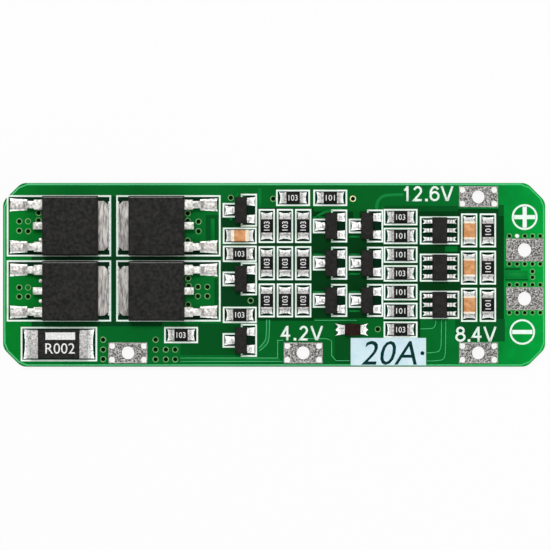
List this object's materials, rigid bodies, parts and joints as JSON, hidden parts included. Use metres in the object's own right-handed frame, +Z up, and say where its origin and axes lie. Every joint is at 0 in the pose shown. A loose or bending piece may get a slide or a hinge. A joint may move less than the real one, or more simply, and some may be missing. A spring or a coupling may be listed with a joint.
{
  "type": "battery management board",
  "caption": "Green protection circuit board for a three-cell lithium battery, with power transistors, a current shunt, chip parts and tinned wire pads",
  "frame": {"origin": "centre of the board's bare underside", "axes": "+X along the length towards the two output pads, +Y across the board towards the high tap pad, +Z up from the bare side to the side with the parts"},
  "size_m": [0.059, 0.02, 0.0033],
  "materials": {
    "laminate_green": "gloss",
    "tinned_pad": "satin",
    "white_print": "matte",
    "solder": "gloss",
    "tinned_lead": "satin",
    "black_moulding": "matte",
    "resistor_coat": "satin",
    "capacitor_ceramic": "satin",
    "dark_ceramic": "satin"
  },
  "bodies": {
    "root": {"bias_resistor": "resistor_coat", "cell_capacitor_1": "capacitor_ceramic", "cell_capacitor_2": "capacitor_ceramic", "cell_capacitor_3": "capacitor_ceramic", "cell_monitor_1": "black_moulding", "cell_monitor_2": "black_moulding", "cell_monitor_3": "black_moulding", "circuit_board": "laminate_green", "driver_transistor_1_a": "black_moulding", "driver_transistor_1_b": "black_moulding", "driver_transistor_2_a": "black_moulding", "driver_transistor_2_b": "black_moulding", "driver_transistor_3_a": "black_moulding", "driver_transistor_3_b": "black_moulding", "feed_resistor_1": "resistor_coat", "feed_resistor_2": "resistor_coat", "feed_resistor_3": "resistor_coat", "feed_resistor_4": "resistor_coat", "feed_resistor_5": "resistor_coat", "feed_resistor_6": "resistor_coat", "feed_resistor_7": "resistor_coat", "filter_resistor_1": "resistor_coat", "filter_resistor_2": "resistor_coat", "filter_resistor_3": "resistor_coat", "gate_resistor_1_1": "resistor_coat", "gate_resistor_1_2": "resistor_coat", "gate_resistor_1_3": "resistor_coat", "gate_resistor_2_1": "resistor_coat", "gate_resistor_2_2": "resistor_coat", "gate_resistor_2_3": "resistor_coat", "gate_resistor_3_1": "resistor_coat", "gate_resistor_3_2": "resistor_coat", "gate_resistor_3_3": "resistor_coat", "legend_print": "white_print", "pad_output_negative": "tinned_pad", "pad_output_positive": "tinned_pad", "pad_tap_high": "tinned_pad", "pad_tap_low": "tinned_pad", "pad_tap_middle": "tinned_pad", "pad_tap_negative": "tinned_pad", "power_transistor_1_body": "black_moulding", "power_transistor_1_leads": "tinned_lead", "power_transistor_2_body": "black_moulding", "power_transistor_2_leads": "tinned_lead", "power_transistor_3_body": "black_moulding", "power_transistor_3_leads": "tinned_lead", "power_transistor_4_body": "black_moulding", "power_transistor_4_leads": "tinned_lead", "sense_capacitor": "capacitor_ceramic", "sense_resistor_1": "resistor_coat", "sense_resistor_2": "resistor_coat", "sense_transistor_1": "black_moulding", "sense_transistor_2": "black_moulding", "sense_transistor_3": "black_moulding", "shunt_body": "black_moulding", "shunt_terminals": "tinned_lead", "solder_joints": "solder", "thermistor_chip": "dark_ceramic", "top_resistor_1": "resistor_coat", "top_resistor_2": "resistor_coat"}
  },
  "joints": []
}
